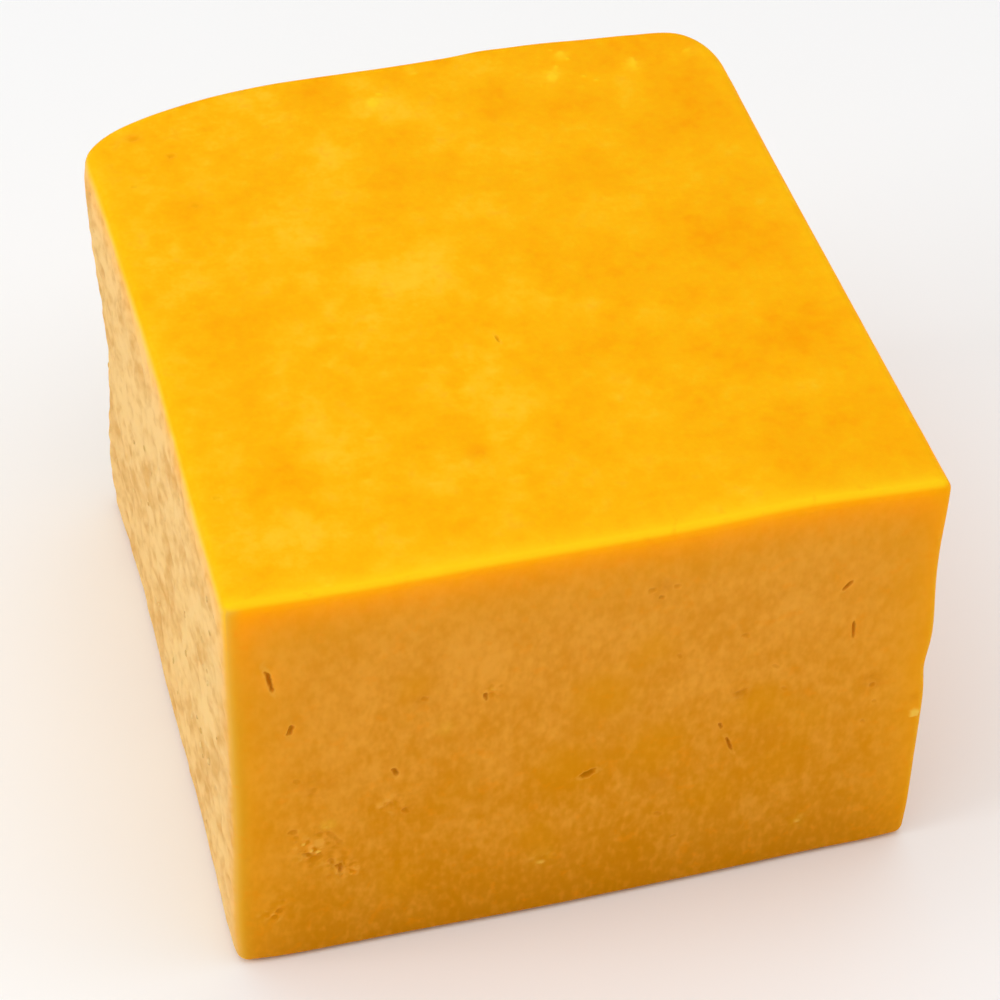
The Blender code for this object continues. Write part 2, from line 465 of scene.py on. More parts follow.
@dataclass
class BlockForm:
    """The block's form: its box, softened edges, round back corners, swells and relief."""

    width: float = 110.0 * MM
    depth: float = 125.0 * MM
    height: float = 77.0 * MM
    edge_radius: float = 1.8 * MM
    back_left_reach: tuple[float, float] = (38.0 * MM, 15.5 * MM)
    back_right_reach: tuple[float, float] = (11.0 * MM, 14.0 * MM)
    relief_fade: float = 4.0 * MM
    bump_size: float = 5.5 * MM
    bump_height: float = 0.35 * MM
    bump_roughness: float = 0.9
    bump_lacunarity: float = 2.0
    bump_octaves: int = 2
    dimple_spacing: float = 7.0 * MM
    dimple_depth: float = 0.5 * MM
    dimple_share: float = 0.38
    # Where the top's painted glowing rim starts, how fast it fades, and how strong it is along the
    # front, left and right edges
    glow_start: float = 1.5 * MM
    glow_reach: float = 2.0 * MM
    glow_shares: Triple = (0.9, 0.25, 0.2)
    wear: float = 0.45 * MM
    wear_reach: float = 5.0 * MM
    wear_push: Triple = (0.5, 1.0, 0.3)
    border_reach: float = 6.0 * MM
    lit_reach: float = 8.0 * MM
    # How far up the painted shade at the bottom of the upright faces reaches
    foot_shade_reach: float = 17.0 * MM
    left_swells: tuple[Swell, ...] = shapes(
        Swell,
        (48, 68, 11, 0.8), (48, 38, 13, -0.7), (54, 12, 9, 0.8), (26, 0, 19, -0.6),
        (-56, 9, 15, 0.8), (-8, 74, 24, -0.5),
    )
    right_swells: tuple[Swell, ...] = shapes(
        Swell,
        (-58, 61, 9, -0.6), (-58, 46, 5, 0.3), (-60, 39, 4, -0.6), (42, 72, 14, 0.25),
        (55, 76, 5, 0.3), (20, 35, 26, 0.3),
    )
    back_swells: tuple[Swell, ...] = shapes(
        Swell,
        (15.5, 76, 4, 0.4), (26, 75, 8, 0.5), (20, 76, 9, 0.2), (45, 76, 4, -0.5), (52, 76, 4, 1),
        (-55, 76, 9, 0.7), (17, 72, 15, 0.7), (-15, 72, 22, 0.4), (-15, 28, 24, -0.6),
    )
    top_swells: tuple[Swell, ...] = shapes(
        Swell,
        (33, -62, 14, 0.9), (-36, -62, 14, -0.4), (-10.5, -37.5, 5, -0.3),
    )
    front_swells: tuple[Swell, ...] = shapes(
        Swell,
        (44, 2, 20, -0.7), (-8, 4, 16, 0.2), (-35, 22, 14, -0.25),
    )

    def softened(self, points: Array) -> tuple[Array, Array, Array]:
        """Rounds the edges of a square block, all but its two upright back ones.

        Args:
            points: Points on the square block, which stands on z = 0.

        Returns:
            The points on the softened block, how far round an edge each lies (0 on a face,
            1 at the middle of an edge), and the direction from the core to each point.
        """
        radius = self.edge_radius
        low = np.array([-self.width / 2, -self.depth / 2, 0.0]) + radius
        high = np.array([self.width / 2, self.depth / 2, self.height]) - radius
        core = np.clip(points, low, high)
        away = points - core
        rounded = np.hypot(away[:, 0], away[:, 1])
        mitred = np.maximum(np.abs(away[:, 0]), np.abs(away[:, 1]))
        level = np.where(away[:, 1] > 0.0, mitred, rounded)
        reach = np.hypot(level, away[:, 2])
        softened = core + away * (radius / reach)[:, None]
        edge = np.clip((reach / radius - 1.0) / (math.sqrt(2.0) - 1.0), 0.0, 1.0)
        return softened, edge, away / reach[:, None]

    def roughness(self, points: Array) -> Array:
        """Tells how rough the outside is.

        Args:
            points: Points on the block.

        Returns:
            The roughness at each point: 0 on the cut faces, 1 well off them.
        """
        from_front = ramp(points[:, 1] + self.depth / 2, self.relief_fade)
        from_right = ramp(self.width / 2 - points[:, 0], self.relief_fade)
        from_top = ramp(self.height - points[:, 2], self.relief_fade)
        from_bottom = ramp(points[:, 2], self.relief_fade)
        return from_front * from_right * from_top * from_bottom

    def glow(self, points: Array) -> Array:
        """Tells how close points are to the top's edges, where the top gets a painted glowing rim.

        Args:
            points: Points on the block.

        Returns:
            The closeness of each point: most at the front edge, none at the back one.
        """
        x, y = points[:, 0], points[:, 1]
        insets = (y + self.depth / 2, x + self.width / 2, self.width / 2 - x)
        glows = []
        for inset, share in zip(insets, self.glow_shares):
            away = np.maximum(inset - self.glow_start, 0.0)
            glows.append(share * np.exp(-away / self.glow_reach))
        return np.maximum.reduce(glows)

    def border(self, points: Array) -> Array:
        """Tells how close points are to an upright edge.

        Args:
            points: Points on the block.

        Returns:
            The closeness of each point: 1 on the edge, fading away from it.
        """
        across = self.width / 2 - np.abs(points[:, 0])
        along = self.depth / 2 - np.abs(points[:, 1])
        return np.exp(-np.maximum(across, along) / self.border_reach)

    def corner_rounded(self, points: Array, side: int, reach: tuple[float, float]) -> Array:
        """Pulls the points of a square back corner onto the corner's quarter ellipse.

        The ellipse draws in with the rounded rim at each height, so the rim stays even.

        Args:
            points: Points on the block.
            side: -1 for the left corner, 1 for the right one.
            reach: How far the corner reaches along the back and along its side.

        Returns:
            The moved points.
        """
        half = self.height / 2
        round_rim = np.maximum(np.abs(points[:, 2] - half) - half + self.edge_radius, 0.0)
        inset = self.edge_radius - np.sqrt(np.maximum(self.edge_radius**2 - round_rim**2, 0.0))
        reach_x, reach_y = reach[0] - inset, reach[1] - inset
        centre_x = side * (self.width / 2 - reach[0])
        centre_y = self.depth / 2 - reach[1]
        u = side * (points[:, 0] - centre_x) / reach_x
        v = (points[:, 1] - centre_y) / reach_y
        inside = (u > 0.0) & (v > 0.0)
        pull = np.where(inside, np.maximum(u, v) / np.maximum(np.hypot(u, v), TINY), 1.0)
        moved = points.copy()
        moved[inside, 0] = centre_x + side * (u * pull * reach_x)[inside]
        moved[inside, 1] = centre_y + (v * pull * reach_y)[inside]
        return moved

    def swollen(self, points: Array) -> Array:
        """Moves points as the faces' rises and hollows push them.

        Args:
            points: Points on the block.

        Returns:
            The moved points.
        """
        x, y, z = points.T

        def total(swells: tuple[Swell, ...], across: Array, up: Array) -> Array:
            """Adds up one face's swells."""
            return sum(swell.rise(across, up) for swell in swells)

        left = np.maximum(0.0, -2 * x / self.width) * total(self.left_swells, y, z)
        right = np.maximum(0.0, 2 * x / self.width) * total(self.right_swells, y, z)
        front = np.maximum(0.0, -2 * y / self.depth) * total(self.front_swells, x, z)
        back = np.maximum(0.0, 2 * y / self.depth) * total(self.back_swells, x, z)
        top = z / self.height * total(self.top_swells, x, y)
        return np.stack([x - left + right, y - front + back, z + top], axis=1)

    def worn(self, points: Array) -> Array:
        """Wears the two lower front corners back a little.

        Args:
            points: Points on the block.

        Returns:
            The moved points.
        """
        inward, back, up = self.wear_push
        for side in (-1.0, 1.0):
            corner = np.array([side * self.width / 2, -self.depth / 2, 0.0])
            away = np.linalg.norm(points - corner, axis=1) / self.wear_reach
            push = np.array([-side * inward, back, up])
            points = points + np.outer(np.exp(-away * away) * self.wear, push)
        return points

    def relief(self, point: Vector) -> float:
        """Measures the rough outside's bumps and dimples.

        Args:
            point: A point on the outside.

        Returns:
            Their height there.
        """
        bumps = noise.fractal(
            point / self.bump_size, self.bump_roughness, self.bump_lacunarity, self.bump_octaves
        )
        nearest = noise.voronoi(point / self.dimple_spacing)[0][0]
        dimple = float(ramp(np.float64(self.dimple_share - nearest), self.dimple_share))
        return self.bump_height * bumps - self.dimple_depth * dimple


FRONT_OPENINGS = shapes(
    Opening,
    (-48.3, 61.6, 4.3, 0.65, -79), (-45.5, 50.9, 1.8, 0.7, 73, 0.8),
    (-29.8, 37.8, 1.8, 0.8, -70, 0.8), (-16, 50.6, 1.3, 0.65, -84, 0.8),
    (0.4, 29.7, 2.6, 1.1, 19, 0.9), (21.5, 34.8, 1.3, 0.5, -69, 0.6),
    (23.1, 30.5, 3.2, 0.5, -72, 0.8), (41.7, 51, 3.6, 0.45, -88, 0.8),
    (39.9, 60.1, 2, 0.65, 50, 0.8), (-38.7, 18.6, 2.2, 0.9, -74, 0.9),
    (-43.6, 23.1, 2.4, 0.8, -12, 0.5),
)
SHALLOW_MARKS = shapes(
    Opening,
    (13, 66.3, 1, 0.8, 0, 0.3), (9.2, 66.3, 1.3, 0.9, 20, 0.3), (10.7, 64.6, 1.1, 0.8, -30, 0.35),
    (24.1, 40.8, 1, 0.8, -40, 0.3), (45.9, 37.8, 1.1, 0.8, -70, 0.35),
    (46.6, 33.9, 0.9, 0.7, -60, 0.25), (14.1, 51.6, 1.2, 0.7, -70, 0.25),
    (31.4, 40.5, 1.2, 0.7, -50, 0.25), (12.1, 17.6, 1.4, 0.8, -20, 0.3),
    (15, 11.5, 1, 0.8, 10, 0.3), (45.1, 29.8, 1.3, 0.7, -80, 0.25),
    (-39.9, 20.6, 1.2, 1, -60, 0.4), (-39.4, 25.7, 4.3, 0.9, -56, 0.3),
    (-45.8, 28.7, 1.2, 1.1, -40, 0.4), (-44.9, 39.7, 1.1, 0.9, -50, 0.3),
    (-25.2, 52.4, 1.3, 0.8, -35, 0.3), (24.4, 53.5, 1.2, 0.9, -30, 0.3),
    (-30.8, 30.9, 1.6, 0.8, -70, 0.3), (-28.3, 28.8, 1.2, 0.9, -60, 0.3),
    (29.7, 45.7, 1.5, 0.7, -45, 0.25), (24.4, 41.4, 2.2, 1, 20, 0.3),
)
TOP_OPENINGS = shapes(
    Opening,
    (-1.3, -14, 2, 0.45, -80, 0.5), (-46.3, 51, 1.9, 1.3, 20, 0.2),
    (-41.1, 44.8, 1.3, 1.1, 20, 0.2), (-39.9, 30.7, 1.4, 1.1, -30, 0.16),
    (-48.5, 38.1, 1.1, 0.9, 0, 0.14), (-50.5, -39.3, 1.1, 0.9, 0, 0.14),
)


@dataclass(frozen=True)
class Patch:
    """A soft-edged patch on a face, in millimetres: a stain, or a stretch of crumbly curd."""

    across: float
    up: float
    reach: float
    strength: float = 1.0

    def share(self, across: Array, up: Array) -> Array:
        """Returns how much of the patch is at each place."""
        away = np.hypot(across - self.across * MM, up - self.up * MM) / (self.reach * MM)
        return self.strength * ramp(1.0 - away, 1.0)


FRONT_CRUMBLY = shapes(
    Patch,
    (-42.5, 24, 8), (-37.5, 18, 5), (-30.5, 30.5, 6, 0.8), (-42, 38, 6, 0.5), (-29.6, 16, 5, 0.5),
    (-49.2, 11.5, 5, 1), (-6.6, 12.5, 5, 0.7), (-8.5, 21, 4, 0.4), (-14.6, 51.8, 4, 0.6),
    (24.4, 41.1, 5, 0.5), (36, 9.5, 4, 0.7), (45.8, 38.9, 4, 0.4), (47.7, 58, 3, 0.5),
)
FRONT_STAINS = shapes(
    Patch,
    (10.5, 66.2, 4, 0.7), (24.4, 41.1, 3.5, 0.6), (45.8, 38.9, 4, 0.6), (-26.1, 52.2, 3, 0.5),
    (-41.7, 37.2, 5, 0.5), (11.6, 24.5, 5, 0.4), (53.5, 33, 2, 0.5), (-42.1, 24, 5, 0.4),
    (-6.6, 13, 4, -0.3), (36, 9.1, 3, -0.35), (-40.2, 28.6, 2.5, -0.7), (-22, 45.5, 3, -0.4),
)
TOP_STAINS = shapes(
    Patch,
    (-11, -38.2, 3.8, 0.9), (12.7, 43, 3, 0.7), (-46.3, 51, 3.2, 0.8), (-41.1, 44.8, 2, 0.8),
    (-39.9, 30.7, 4, 0.5), (26.2, 52.5, 3, -1), (28.9, 57.3, 2.5, -0.8), (40.1, 52, 3.5, -0.8),
    (51, 53.6, 3, -0.7), (-5.1, 52, 2.6, -1), (2.9, 58.9, 2.5, -0.6), (-21.6, 47.7, 3.5, -0.6),
    (-38.8, -59.5, 3, -0.7),
)
FRONT_TONES = shapes(
    Patch,
    (-35.5, 55, 9, 0.8), (-38.5, 43, 8, 0.7), (-18, 60, 8, 0.4), (31.5, 56, 8, 0.8),
    (18.5, 46.5, 6, 0.6), (-40, 27, 8, 0.5), (2.5, 46, 10, -0.9), (-3.5, 32, 10, -0.8),
    (11, 33, 10, -0.8), (27.5, 38.5, 8, -0.8), (32, 24, 9, -0.6), (-22, 31, 9, -0.4),
    (-29.6, 12.6, 8, -0.8), (-27.6, 54.9, 7, -0.6), (9.8, 54.5, 7, -0.7), (20.9, 19.6, 8, -0.7),
    (35.1, 33.6, 8, -0.6), (-7.4, 17.3, 7, -0.8), (-28.2, 33.5, 7, 0.6), (-31.4, 67, 7, 0.6),
    (29.1, 68.5, 8, 0.6), (-5.5, 69.5, 7, 0.6),
)
TOP_TONES = shapes(
    Patch,
    (-18, 29.9, 7, 0.7), (-15.6, -7, 7, 0.7), (-1.6, 48.3, 8, 0.7), (-15.5, 40.1, 8, 0.8),
    (-25.5, 17.6, 9, 0.7), (-8.8, 5.5, 13, 1), (5.2, -3.3, 6, 0.6), (-4.8, -28.3, 9, 0.7),
    (25.5, 15.8, 8, 0.5), (-42.4, -52, 11, 1), (-31.2, -8.2, 7, 0.6), (-18.6, -45.8, 8, 0.6),
    (-13.3, 57.1, 8, -1), (48.2, 44.9, 10, -0.8), (-42.5, 30, 8, -0.7), (-41.6, -1.8, 12, -0.9),
    (-40, -35, 10, -0.7), (34.1, -25.8, 10, -0.6), (46.1, -23.8, 10, -0.7),
    (47.2, -48.5, 12, -0.9), (36.4, 2.1, 12, -0.6),
)
FRONT_NUBS = shapes(
    Nub,
    (53.6, 29.8, 2.5, 2.3, 0, 0.45), (-41.9, 23.4, 1.2, 0.9, 10), (-42.9, 23.9, 0.9, 0.7, -30),
    (-40.6, 28.5, 1.1, 0.9, 0, 0.08), (-44.2, 25.6, 0.8, 0.7), (-36.9, 16.9, 1, 0.8, 0, 0.08),
    (-14.9, 51.8, 1.2, 0.9, 0, 0.06), (-13.9, 52.8, 0.9, 0.7, 0, 0.05),
    (36, 9.1, 1.8, 1.3, 10, 0.1), (-6.6, 11.7, 2.4, 1.2, -8, 0.12),
)
TOP_NUBS = shapes(
    Nub,
    (-5.6, 51.2, 3.6, 2.5, 75), (-4, 53.6, 1.9, 1.5, -30, 0.16), (3.2, 57.9, 2, 1.5, 10, 0.12),
    (25.8, 51.4, 3.4, 2.4, 80), (27.2, 54.1, 1.8, 1.4, 60, 0.15), (29, 58, 2.2, 1.6, 30, 0.15),
    (29.7, 56, 1.4, 1.2, 0, 0.15), (27.6, 59.2, 1.4, 1.1, 0, 0.12), (40.3, 52.4, 4, 1.9, 80, 0.18),
    (31, 50.4, 1.4, 1.2, 0, 0.15), (32.8, 48.7, 1.5, 1.2, 0, 0.15),
    (50.2, 53.6, 2.2, 1.7, 40, 0.12), (-38.8, -61.2, 1.6, 1.1, 0, 0.15),
)


@dataclass(frozen=True)
class FaceDetail:
    """What shows on one cut face; its axes are those across it, up it and out of it."""

    axes: tuple[int, int, int]
    outward: float
    openings: tuple[Opening, ...]
    nubs: tuple[Nub, ...]
    crumbly: tuple[Patch, ...]
    stains: tuple[Patch, ...]
    tones: tuple[Patch, ...]

    def spread(self, points: Array) -> tuple[Array, Array]:
        """Returns how far across and up the face each point is."""
        return points[:, self.axes[0]], points[:, self.axes[1]]

    def under(self, points: Array, form: BlockForm) -> Array:
        """Returns how far under the flat face each point lies."""
        level = form.height if self.outward > 0 else -form.depth / 2
        return (level - points[:, self.axes[2]]) * self.outward


FRONT = FaceDetail(
    (0, 2, 1),
    -1.0,
    FRONT_OPENINGS + SHALLOW_MARKS,
    FRONT_NUBS,
    FRONT_CRUMBLY,
    FRONT_STAINS,
    FRONT_TONES,
)
TOP = FaceDetail((0, 1, 2), 1.0, TOP_OPENINGS, TOP_NUBS, (), TOP_STAINS, TOP_TONES)


@dataclass
class FineBlock:
    """The whole cheese, on a grid fine enough for its curd."""

    name: str = "cheddar_block"
    form: BlockForm = field(default_factory=BlockForm)
    cell: float = 2.5 * MM
    skin: float = 0.01 * MM
    edge_cells: int = 2
    smooth_level: int = 1
    rough_level: int = 2
    crumbly_level: int = 3
    stain_level: int = 2
    opening_level: int = 4
    nub_level: int = 3
    spot_rings: tuple[float, ...] = (0.7 * MM, 1.4 * MM, 2.8 * MM)
    patch_margin: float = 0.25
    outside_bias: float = 0.15
    upward_start: float = 0.5
    upward_reach: float = 0.4
    opening_depth: float = 0.6 * MM
    lip_height: float = 0.04 * MM
    lip_reach: float = 1.35
    lip_width: float = 0.3
    nub_power: float = 1.5
    pale_nub: float = 0.22
    mark_margin: float = 0.5 * MM
    raggedness: float = 0.45
    ragged_size: float = 0.7 * MM
    ragged_reaches: float = 3.0

    def lines(self, size: float) -> Array:
        """Places the grid lines across one side: even ones, and closer ones round the edges.

        Args:
            size: The side's length.

        Returns:
            The lines' distances from the side's start.
        """
        radius = self.form.edge_radius
        steps = np.arange(self.edge_cells) / self.edge_cells
        edge = radius * (1.0 - np.tan(math.pi / 4 * (1.0 - steps)))
        cells = round((size - 2 * radius) / self.cell)
        middle = np.linspace(radius, size - radius, cells + 1)
        return np.concatenate([edge, middle, size - edge[::-1]])

    def blank(self, finish: Material) -> Mesh:
        """Builds the square block's grid with Geometry Nodes.

        Args:
            finish: The block's material.

        Returns:
            The grid's mesh, standing on z = 0, with its lines where lines() puts them.
        """
        form = self.form
        sizes = (form.width, form.depth, form.height)
        lines = [self.lines(size) for size in sizes]
        counts = zip(("Columns", "Rows", "Layers"), lines)
        inputs = {"Size": ("Vector", sizes), **{name: ("Int", len(at)) for name, at in counts}}
        tree = GeometryTree("block_blank", finish, inputs)
        values = {
            "Size": tree.given["Size"],
            "Vertices X": tree.given["Columns"],
            "Vertices Y": tree.given["Rows"],
            "Vertices Z": tree.given["Layers"],
        }
        mesh = tree.result(tree.add("GeometryNodeMeshCube", values).outputs["Mesh"])
        points = mesh_points(mesh)
        for axis, (size, places) in enumerate(zip(sizes, lines)):
            index = np.rint((points[:, axis] / size + 0.5) * (len(places) - 1)).astype(int)
            points[:, axis] = places[index]
        points -= np.array([form.width / 2, form.depth / 2, 0.0])
        set_mesh_points(mesh, points)
        return mesh

    def wanted_levels(self, places: Array) -> Array:
        """Tells how many times the grid's cells are halved at places on the square block.

        Args:
            places: The middles of the grid's faces.

        Returns:
            The wanted number of halvings for each place.
        """
        form = self.form
        x, y = places[:, 0], places[:, 1]
        near = form.edge_radius + self.cell
        rim = np.maximum(np.abs(x) - form.width / 2, np.abs(y) - form.depth / 2) > -near
        on_outside = (x < -form.width / 2 + self.skin) | (y > form.depth / 2 - self.skin)
        levels = np.where(rim | (FRONT.under(places, form) < self.skin), self.smooth_level, 0)
        levels[on_outside] = self.rough_level
        for detail in (FRONT, TOP):
            across, up = detail.spread(places)
            wanted = [levels]
            for patches, level in (
                (detail.crumbly, self.crumbly_level),
                (detail.stains, self.stain_level),
            ):
                for patch in patches:
                    share = np.abs(patch.share(across, up) / patch.strength)
                    faint = np.where(share > 0.0, level - 1, 0)
                    wanted.append(np.where(share > self.patch_margin, level, faint))
            for spots, level in (
                (detail.openings, self.opening_level),
                (detail.nubs, self.nub_level),
            ):
                for spot in spots:
                    wanted.append(self.levels_near(spot, level, across, up))
            on_face = detail.under(places, form) < self.skin
            levels = np.where(on_face, np.maximum.reduce(wanted), levels)
        return levels

    def levels_near(self, spot: Spot, level: int, across: Array, up: Array) -> Array:
        """Tells how finely a spot needs the grid: most inside it, less round it.

        Args:
            spot: The opening or nub.
            level: The number of halvings inside it.
            across: How far across the face each place is.
            up: How far up the face each place is.

        Returns:
            The number of halvings for each place.
        """
        along, beside = spot.turned(across, up)
        out = np.maximum(
            (np.abs(along) - 1.0) * spot.length * MM / 2,
            (np.abs(beside) - 1.0) * spot.width * MM / 2,
        )
        rings = np.searchsorted(np.array(self.spot_rings), out)
        return np.where(rings < len(self.spot_rings), level - rings, 0)

    def refine(self, mesh: Mesh) -> None:
        """Halves the grid's cells where the rough outside, the patches and the openings need it.

        Args:
            mesh: The square block's grid, which is changed.
        """
        bm = bmesh.new()
        bm.from_mesh(mesh)
        for level in range(1, self.opening_level + 1):
            bm.faces.ensure_lookup_table()
            middles = np.array([face.calc_center_median() for face in bm.faces])
            chosen = set()
            for index in np.nonzero(self.wanted_levels(middles) >= level)[0]:
                chosen.update(edge.index for edge in bm.faces[index].edges)
            bm.edges.ensure_lookup_table()
            edges = [bm.edges[index] for index in sorted(chosen)]
            bmesh.ops.subdivide_edges(bm, edges=edges, cuts=1, use_grid_fill=True)
            bm.edges.index_update()
        bm.to_mesh(mesh)
        bm.free()

    def shape(self, mesh: Mesh) -> None:
        """Bends the grid into the block and raises its coarse relief.

        Args:
            mesh: The refined square grid, which is changed, and gets the marks that its
                material reads.
        """
        form = self.form
        softened, edge, direction = form.softened(mesh_points(mesh))
        rough = form.roughness(softened)
        sideways = np.maximum(-direction[:, 0], direction[:, 1])
        others = np.maximum.reduce([np.abs(direction[:, 2]), direction[:, 0], -direction[:, 1]])
        flat = form.corner_rounded(softened, -1, form.back_left_reach)
        flat = form.corner_rounded(flat, 1, form.back_right_reach)
        bent = form.worn(form.swollen(flat))
        set_mesh_points(mesh, bent)
        normals = mesh_normals(mesh)
        height = np.zeros(len(bent))
        for index in np.nonzero(rough > 0.0)[0]:
            height[index] = form.relief(Vector(bent[index])) * rough[index]
        points = bent + normals * height[:, None]
        low, high = points.min(axis=0), points.max(axis=0)
        shift = -(low + high) / 2
        shift[2] = -low[2]
        points += shift
        details = self.detailed(points)
        set_mesh_points(mesh, points)
        marks = {
            Mark.ROUGH: rough,
            Mark.OUTSIDE: ramp(sideways - others + self.outside_bias, 1.0),
            Mark.EDGE: edge,
            Mark.UPWARD: ramp(normals[:, 2] - self.upward_start, self.upward_reach),
            # These four marks place the finish's painted glow, highlights and shade
            Mark.GLOW: form.glow(softened),
            Mark.LIT: np.exp((softened[:, 2] - form.height) / form.lit_reach),
            Mark.BORDER: form.border(softened),
            Mark.FOOT: np.exp(-softened[:, 2] / form.foot_shade_reach),
            Mark.RELIEF: height,
            **details,
        }
        for mark, values in marks.items():
            layer = mesh.attributes.new(mark.value, "FLOAT", "POINT")
            layer.data.foreach_set("value", values.astype(np.float32))

    def detailed(self, points: Array) -> dict[Mark, Array]:
        """Sinks the openings into the cut faces, and raises their nubs.

        Args:
            points: The block's points, which are changed.

        Returns:
            The marks of the openings, the nubs and the patches.
        """
        form = self.form
        names = (Mark.CAVITY, Mark.LIP, Mark.NUB, Mark.CRUMBLY, Mark.STAIN, Mark.TONE)
        marks = {mark: np.zeros(len(points)) for mark in names}
        for detail in (FRONT, TOP):
            across, up = detail.spread(points)
            under = detail.under(points, form)
            push = np.zeros(len(points))
            for opening in detail.openings:
                reach = self.ragged_reach(opening, detail, points)
                hollow = np.sqrt(np.maximum(1.0 - reach * reach, 0.0)) * opening.depth
                from_lip = (reach - self.lip_reach) / self.lip_width
                rim = np.exp(-(from_lip**2)) * opening.depth
                push += self.lip_height * rim - self.opening_depth * hollow
                marks[Mark.CAVITY] = np.maximum(marks[Mark.CAVITY], hollow)
                marks[Mark.LIP] = np.maximum(marks[Mark.LIP], rim)
            for nub in detail.nubs:
                reach = self.ragged_reach(nub, detail, points)
                dome = np.maximum(1.0 - reach * reach, 0.0) ** self.nub_power
                push += nub.height * MM * dome
                paleness = dome * min(nub.height / self.pale_nub, 1.0)
                marks[Mark.NUB] = np.maximum(marks[Mark.NUB], paleness)
            points[:, detail.axes[2]] += push * detail.outward
            on_face = ramp(form.edge_radius + self.mark_margin - under, form.edge_radius)
            for mark, patches in (
                (Mark.CRUMBLY, detail.crumbly),
                (Mark.STAIN, detail.stains),
                (Mark.TONE, detail.tones),
            ):
                marks[mark] += on_face * sum(patch.share(across, up) for patch in patches)
        return {mark: np.clip(values, -1.0, 1.0) for mark, values in marks.items()}

    def ragged_reach(self, spot: Spot, detail: FaceDetail, points: Array) -> Array:
        """Tells how far points are from a spot's middle, in half sizes, with an uneven outline.

        Args:
            spot: The opening or nub.
            detail: The face that it is on.
            points: The block's points.

        Returns:
            Each point's distance, endless for those that aren't near the face.
        """
        reach = spot.reach(*detail.spread(points))
        reach[detail.under(points, self.form) > self.form.edge_radius] = np.inf
        for index in np.nonzero(reach < self.ragged_reaches)[0]:
            swing = noise.noise(Vector(points[index]) / self.ragged_size)
            reach[index] *= 1.0 + self.raggedness * swing
        return reach

    def build(self, finish: Material) -> bpy.types.Object:
        """Builds the block.

        Args:
            finish: The block's material.

        Returns:
            The finished piece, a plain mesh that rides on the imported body.
        """
        mesh = self.blank(finish)
        self.refine(mesh)
        self.shape(mesh)
        block = smooth_piece(self.name, CurdRelief().applied(mesh, finish))
        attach(block, BODY)
        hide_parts(NODE)
        return block


@dataclass(frozen=True)
class CurdRelief:
    """The fine relief: crumbs and pores on the rough outside, faint waves on the cut faces."""

    crumbs: Grain = Grain(2.4 * MM)
    crumb_height: float = 0.22 * MM
    pore_spacing: float = 3.4 * MM
    pore_depth: float = 0.15 * MM
    pore_share: float = 0.36
    fine_crumbs: Grain = Grain(1.3 * MM)
    fine_crumb_height: float = 0.5 * MM
    fine_pore_spacing: float = 2.3 * MM
    fine_pore_depth: float = 0.42 * MM
    waves: Grain = Grain(9.0 * MM, 1.0)
    wave_height: float = 0.12 * MM
    settle: float = 6.0 * MM
    seed: float = 3.0

    def applied(self, mesh: Mesh, finish: Material) -> Mesh:
        """Raises the relief on a mesh.

        Args:
            mesh: The block's mesh, with its marks.
            finish: The material that the result gets.

        Returns:
            The new mesh.
        """
        inputs = {
            "Crumb Height": self.crumb_height,
            "Pore Depth": self.pore_depth,
            "Fine Crumb Height": self.fine_crumb_height,
            "Fine Pore Depth": self.fine_pore_depth,
            "Wave Height": self.wave_height,
            "Seed": self.seed,
        }
        tree = GeometryTree(
            "curd_relief", finish, {name: ("Float", value) for name, value in inputs.items()}
        )
        given, place = tree.given, tree.place
        curd = self.bumps(
            tree,
            tree.pulled(place),
            (self.crumbs, given["Crumb Height"]),
            (self.pore_spacing, given["Pore Depth"]),
        )
        fine = self.bumps(
            tree,
            place,
            (self.fine_crumbs, given["Fine Crumb Height"]),
            (self.fine_pore_spacing, given["Fine Pore Depth"]),
        )
        curd = tree.times(curd, tree.read(Mark.ROUGH.value))
        curd = tree.math("ADD", curd, tree.times(fine, tree.read(Mark.CRUMBLY.value)))
        above = tree.add("ShaderNodeSeparateXYZ", {0: place}).outputs["Z"]
        waves = tree.swing(tree.grain(place, self.waves, given["Seed"]))
        waves = tree.times(waves, given["Wave Height"])
        waves = tree.times(waves, tree.smooth(above, 0.0, self.settle))
        rise = tree.math("ADD", curd, waves)
        values = {
            "Geometry": given["Geometry"],
            "Name": Mark.RELIEF.value,
            "Value": tree.math("ADD", tree.read(Mark.RELIEF.value), rise),
        }
        kept = tree.add(
            "GeometryNodeStoreNamedAttribute", values, data_type="FLOAT", domain="POINT"
        )
        return tree.result(tree.raised(kept.outputs["Geometry"], rise), mesh)

    def bumps(
        self,
        tree: GeometryTree,
        place: Socket,
        crumb: tuple[Grain, Socket],
        pore: tuple[float, Socket],
    ) -> Socket:
        """Adds crumbs with pores between them.

        Args:
            tree: Where the nodes go.
            place: The socket that gives each point's place.
            crumb: The pattern of the crumbs, and the socket that gives their height.
            pore: How far apart the pores are, and the socket that gives their depth.

        Returns:
            How far each point rises.
        """
        crumbs = tree.times(tree.swing(tree.grain(place, crumb[0], tree.given["Seed"])), 2.0)
        pores = tree.smooth(tree.cells(place, pore[0]), self.pore_share, 0.0)
        return tree.math("SUBTRACT", tree.times(crumbs, crumb[1]), tree.times(pores, pore[1]))


